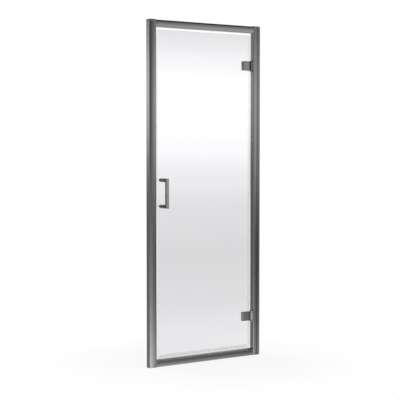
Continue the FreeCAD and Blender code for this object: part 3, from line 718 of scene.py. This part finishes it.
drip_fin = [
    (fin_face - drip_tip_front, drip_low.z, 0.3),
    (fin_face - drip_tip_back, drip_low.z, 0.3),
    (fin_face - drip_bend, shoe_under - drip_drop, 2.0),
    (drip_start, shoe_under, 2.0),
]
drip_legs = [
    (shoe_front, shoe_under, 0.8),
    (shoe_front, leg_taper, 3.0),
    (lip_front, drip_high.z, 0.25),
    (glass_front, drip_high.z, 0.2),
    (glass_front, shoe_top, 0.3),
    (glass_back, shoe_top, 0.3),
    (glass_back, drip_high.z, 0.2),
    (lip_back, drip_high.z, 0.25),
    (shoe_back, leg_taper, 3.0),
    (shoe_back, shoe_top, 0.6),
    (fin_face, shoe_top - shoe_slope, 0.6),
]
drip_stub = [
    (shoe_front, shoe_under, 0.3),
    (shoe_front, shoe_top, 0.3),
    (fin_face, shoe_top, 0.3),
]
leg_start = edge_high.x + leg_room
leg_end = fin_low.x - leg_room
middle_run = [rounded_loop(drip_fin + drip_legs)]
end_run = [rounded_loop(drip_fin + drip_stub)]
drip_runs = [
    (leg_start, leg_end, middle_run),
    (drip_low.x, leg_start - run_gap, end_run),
    (leg_end + run_gap, drip_high.x, end_run),
]
drip_shape = bmesh.new()
for run_start, run_end, loops in drip_runs:
    extruded(drip_shape, [(run_start, loops), (run_end, loops)], lying_place)
drip_milk = milky("drip_milk", [(0.0, 0.92), (0.1, 0.92)], hides=0.2, dull=0.3)
drip_seal = mesh_piece("drip_seal", drip_shape, drip_milk)
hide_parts("bottom_drip_seal")
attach(drip_seal, "door")


# Hinges: solid brackets screwed to the hinge post, and front plates whose knuckles fit between their lugs.
# Back plates inside the shower pinch the glass, and all are brass, brushed and plated to match the frame.
# Their corners and the spots next to the glass carry painted shade.
fitting_metal = brushed("fitting_metal", along_x, gunmetal, gunmetal_edge, dull=0.2, corners=0.2)
dress(fitting_metal, "hinge_bracket_upper", "hinge_bracket_lower")
dress(fitting_metal, "hinge_front_plate_upper", "hinge_front_plate_lower")
dress(fitting_metal, "hinge_back_plate_upper", "hinge_back_plate_lower")


# Hinge pins, screws and bushes: a grub screw in each lug holds the ground steel pin still.
# Flanged nylon bushes at both ends of the knuckle turn on it.
# The clamp bolts draw the plates together through nylon sleeves in the glass.
pin_steel = bright_steel("pin_steel", [0.60, 0.595, 0.58], dull=0.2)
dress(pin_steel, "hinge_pin_upper", "hinge_pin_lower")
dress(screw_steel, "hinge_grub_screws", "hinge_bracket_screws", "hinge_clamp_bolts")
bush_nylon = plastic("bush_nylon", [0.055, 0.055, 0.056], dull=0.45)
dress(bush_nylon, "hinge_bushes", "glass_sleeves")


# Hinge pads: four sheets of soft dark rubber that keep the plates off the glass.
# They are stamped with two bolt holes and squeeze out a little at their edges.
pad_low, pad_high = box_mm("hinge_gaskets")
pad_middle = (pad_low.x + pad_high.x) / 2
pad_hole = 3.2
pad_bolts = 10.0
pad_corner = 1.0
pad_thick = 1.0
pad_edge = [(0.04, 0.25), (0.3, 0.02), (0.7, 0.02), (0.96, 0.25)]
hole_steps, rim_steps = 20, 40


def facing_place(across, up, run):
    """Where a sheet's outline lies, in metres, when its run goes back into the shower."""
    return (across / 1000, run / 1000, up / 1000)


def pad_loops(height, half_width, half_height):
    """A pad's outline and its two bolt holes."""
    signs = ((-1, -1), (1, -1), (1, 1), (-1, 1))
    corners = []
    for across, up in signs:
        corners.append((pad_middle + across * half_width, height + up * half_height, pad_corner))
    holes = [round_loop(pad_middle, height + up * pad_bolts, pad_hole, hole_steps) for up in (-1, 1)]
    return [rounded_loop(corners)] + holes


def soft_rubber(name, colour, dull):
    """Soft dark rubber sheet with a fine fabric-like press grain."""
    material, place = finish(name)
    press = place.noise(scale=1600.0, detail=3.0)
    cloud = place.noise(scale=90.0, detail=2.0)
    place.surface(
        Base_Color=cloud.mixed(toned(colour, 0.85), toned(colour, 1.15)),
        Roughness=press * 0.16 + (dull - 0.08),
        Normal=press.bump(strength=0.25, depth=0.0001),
    )
    return material


pad_rubber = soft_rubber("pad_rubber", [0.045, 0.045, 0.047], dull=0.7)
pad_shape = bmesh.new()
for face, near in (("front", pad_low.y), ("back", pad_high.y - pad_thick)):
    for level in ("lower", "upper"):
        plate_low, plate_high = box_mm("hinge_" + face + "_plate_" + level)
        height = (plate_low.z + plate_high.z) / 2
        half_width = pad_middle - plate_low.x
        half_height = plate_high.z - height
        pad_stations = []
        for depth, tuck in pad_edge:
            pad_stations.append((near + depth, pad_loops(height, half_width - tuck, half_height - tuck)))
        extruded(pad_shape, pad_stations, facing_place)
pads = mesh_piece("hinge_pads", pad_shape, pad_rubber)
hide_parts("hinge_gaskets")
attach(pads, "door")


# Handle: a square bar on two round standoffs, machined from the same plated brass as the hinges.
# The bar is brushed along its length, and its paler tone is painted light; the darker tone of the standoffs
# and the discs inside the shower, with shade in their corners, is painted shade.
# Bolts run through the discs, the glass and the standoffs into the bar.
bar_lit_tone = [0.47, 0.465, 0.455]
bar_lit_edge = [0.52, 0.515, 0.505]
bar_lit_metal = brushed("bar_lit_metal", along_z, bar_lit_tone, bar_lit_edge, dull=0.19)
standoff_shaded_tone = [0.15, 0.146, 0.14]
standoff_shaded_edge = [0.2, 0.195, 0.19]
standoff_shaded_metal = brushed("standoff_shaded_metal", along_y, standoff_shaded_tone, standoff_shaded_edge, dull=0.3, corners=0.3)
dress(bar_lit_metal, "handle_bar")
dress(standoff_shaded_metal, "handle_standoff_upper", "handle_standoff_lower", "handle_back_discs")
dress(screw_steel, "handle_bolts")


# Handle washers: soft rings on both faces of the glass, under the standoffs and the discs.
# They are stamped from the same rubber sheet as the hinge pads.
washer_low, washer_high = box_mm("handle_washers")
washer_middle = (washer_low.x + washer_high.x) / 2
washer_hole = 3.2
disc_edge = box_mm("handle_back_discs")[1].x
washer_faces = [
    (washer_low.y, washer_high.x - washer_middle),
    (washer_high.y - pad_thick, disc_edge - washer_middle),
]
washer_shape = bmesh.new()
for level in ("lower", "upper"):
    standoff_low, standoff_high = box_mm("handle_standoff_" + level)
    height = (standoff_low.z + standoff_high.z) / 2
    for near, radius in washer_faces:
        washer_stations = []
        for depth, tuck in pad_edge:
            rim = round_loop(washer_middle, height, radius - tuck, rim_steps)
            hole = round_loop(washer_middle, height, washer_hole, rim_steps)
            washer_stations.append((near + depth, [rim, hole]))
        extruded(washer_shape, washer_stations, facing_place)
washers = mesh_piece("handle_soft_washers", washer_shape, pad_rubber)
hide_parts("handle_washers")
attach(washers, "door")


# Floor: a plain pale round of floor under the frame, which fades into the white round it.
# It shows white to the eye and keeps a faint part of the frame's shadow.
floor_radius = 1.05
floor_height = -0.0005
white = (1.0, 1.0, 1.0, 1.0)
floor_shape = bmesh.new()
bmesh.ops.create_circle(floor_shape, cap_ends=True, segments=96, radius=floor_radius)
for vertex in floor_shape.verts:
    vertex.co.z = floor_height
floor_white, floor_place = finish("floor_white")
floor_seen = floor_place.node("ShaderNodeLightPath", {}, {}, "Is Camera Ray")
floor_direct = (floor_seen + floor_seen.other("Is Transmission Ray")).capped(0.0, 1.0)
from_middle = floor_place.node("ShaderNodeVectorMath", {"operation": "LENGTH"}, {0: floor_place}, "Value")
fade = from_middle.eased(start=0.45, end=1.0, first=0.8, last=1.0)
speckle = floor_place.noise(scale=60.0, detail=3.0).mixed((0.83, 0.83, 0.83, 1.0), (0.87, 0.87, 0.87, 1.0))
lit = floor_place.node("ShaderNodeBsdfDiffuse", {}, {"Color": speckle})
glow = floor_place.node("ShaderNodeEmission", {}, {"Color": white, "Strength": 1.0})
lit.node("ShaderNodeMixShader", {}, {0: floor_direct * fade, 1: lit, 2: glow}).ends()
floor = mesh_piece("floor", floor_shape, floor_white)
floor.visible_glossy = False


# Studio surround: a wide dome of grey panels that only the polished surfaces see, with a soft light panel
# to the right in front, a longer one behind, and a glow off the ground all round. Each level and side is
# given as a share of the dome's radius, with the brightness there.
surround_radius = 12.0
surround_shape = bmesh.new()
bmesh.ops.create_uvsphere(surround_shape, u_segments=96, v_segments=48, radius=surround_radius)
surround_light, surround_place = finish("surround_light")
side, back, rise = [surround_place.part(axis) * (1 / surround_radius) for axis in "XYZ"]


def on_dome(value, levels):
    """A brightness that follows a place on the dome from -1 to 1."""
    return by_level(value, levels, -1.0, 1.0)


ground_glow = on_dome(rise, [
    (-1.0, 0.3), (-0.4, 0.4), (-0.3, 0.7), (-0.24, 1.5), (-0.2, 1.35), (-0.17, 1.05), (-0.145, 0.75),
    (-0.094, 0.42), (-0.032, 0.3), (0.03, 0.2), (0.1, 0.11), (0.2, 0.07), (0.45, 0.08), (1.0, 0.1),
])
ground_side = on_dome(side, [
    (-1.0, 2.0), (-0.25, 2.0), (0.1, 1.9), (0.35, 1.6), (0.47, 1.1),
    (0.6, 0.85), (0.72, 0.55), (0.79, 0.6), (0.9, 1.25), (1.0, 1.35),
])
front_panel = on_dome(rise, [
    (-0.03, 0.0), (0.03, 0.3), (0.08, 0.75), (0.155, 1.13), (0.2, 0.9),
    (0.24, 0.52), (0.27, 0.34), (0.3, 0.22), (0.4, 0.1), (0.55, 0.0),
])
front_side = on_dome(side, [
    (-0.4, 0.4), (-0.1, 0.2), (0.08, 0.05), (0.26, 0.1), (0.34, 0.25), (0.42, 0.55),
    (0.5, 0.8), (0.6, 1.0), (0.71, 1.02), (0.79, 0.74), (0.88, 0.48), (1.0, 0.35),
])
back_glow = on_dome(rise, [
    (-0.3, 0.8), (-0.16, 0.49), (-0.095, 0.4), (-0.032, 0.31), (0.2, 0.31), (0.5, 0.15), (1.0, 0.1),
])
back_glow_side = on_dome(side, [
    (-0.9, 2.3), (-0.63, 2.3), (-0.6, 1.0), (-0.585, 0.8), (-0.2, 1.0), (0.2, 1.8), (1.0, 1.8),
])
back_panel = on_dome(rise, [
    (0.0, 0.0), (0.03, 0.05), (0.061, 0.22), (0.092, 0.64), (0.123, 1.19), (0.17, 1.49),
    (0.2, 1.19), (0.24, 0.55), (0.3, 0.22), (0.5, 0.05), (1.0, 0.0),
])
back_panel_side = on_dome(side, [
    (-0.9, 0.05), (-0.63, 0.05), (-0.605, 0.3), (-0.58, 1.2), (-0.2, 1.1), (0.3, 0.8), (1.0, 0.8),
])
behind = back.eased(start=-0.2, end=0.3, first=0.0, last=1.0)
front_glow = ground_glow * ground_side + front_panel * front_side
rear_glow = back_glow * back_glow_side + back_panel * back_panel_side
panel_glow = front_glow * (1 - behind) + rear_glow * behind
panel_glow.node("ShaderNodeEmission", {}, {"Color": panel_glow, "Strength": 1.0}).ends()
surround = mesh_piece("surround", surround_shape, surround_light)
surround.visible_camera = False
surround.visible_diffuse = False
surround.visible_transmission = False
surround.visible_shadow = False


# Lamps and the white round the door: three large soft lamps, aimed at its middle, and an even pale sky.
# The sky shows white to the eye, in the metal and through the glass, and lights the door at a plain level.
lamp_aim = Vector((0.0, 0.0, 0.9))
lamps = {
    "key_lamp": ((-2.6, -3.4, 3.4), 70.0, 2.4),
    "fill_lamp": ((3.2, -2.6, 2.8), 35.0, 2.4),
    "back_lamp": ((-0.8, 3.4, 3.6), 40.0, 2.4),
}
for name, (spot, watts, size) in lamps.items():
    light = bpy.data.lights.new(name, "AREA")
    light.energy = watts
    light.size = size
    lamp = new_object(name, light)
    lamp.location = spot
    lamp.rotation_euler = (lamp_aim - lamp.location).to_track_quat("-Z", "Y").to_euler()
    lamp.visible_camera = False
    lamp.visible_glossy = False
    lamp.visible_transmission = False

sky_level = 0.7
world = bpy.data.worlds.new("white_studio")
world.use_nodes = True
world.node_tree.nodes.clear()
sky_seen = Wire(world.node_tree).node("ShaderNodeLightPath", {}, {}, "Is Camera Ray")
sky_mirrored = sky_seen.other("Is Glossy Ray")
sky_through = sky_seen.other("Is Transmission Ray")
sky_direct = (sky_seen + sky_mirrored + sky_through).capped(0.0, 1.0)
sky = sky_seen.node("ShaderNodeBackground", {}, {"Color": white, "Strength": sky_level})
backdrop = sky_seen.node("ShaderNodeBackground", {}, {"Color": white, "Strength": 1.0})
all_round = sky_seen.node("ShaderNodeMixShader", {}, {0: sky_direct, 1: sky, 2: backdrop})
all_round.node("ShaderNodeOutputWorld", {}, {"Surface": all_round})
bpy.context.scene.world = world


# Camera: on the handle's side of the door, a little above its middle, with a long lens.
# It stands where the lines of the frame in the photograph place it.
camera_dip = 2.481
camera_turn = 36.982
view = bpy.data.cameras.new("view")
view.sensor_width = 36.0
view.lens = 113.52
camera = new_object("view", view)
camera.location = (-4.17106, -5.49506, 1.184)
camera.rotation_euler = (math.radians(90.0 - camera_dip), 0.0, math.radians(-camera_turn))
bpy.context.scene.camera = camera
bpy.context.scene.view_settings.view_transform = "Standard"
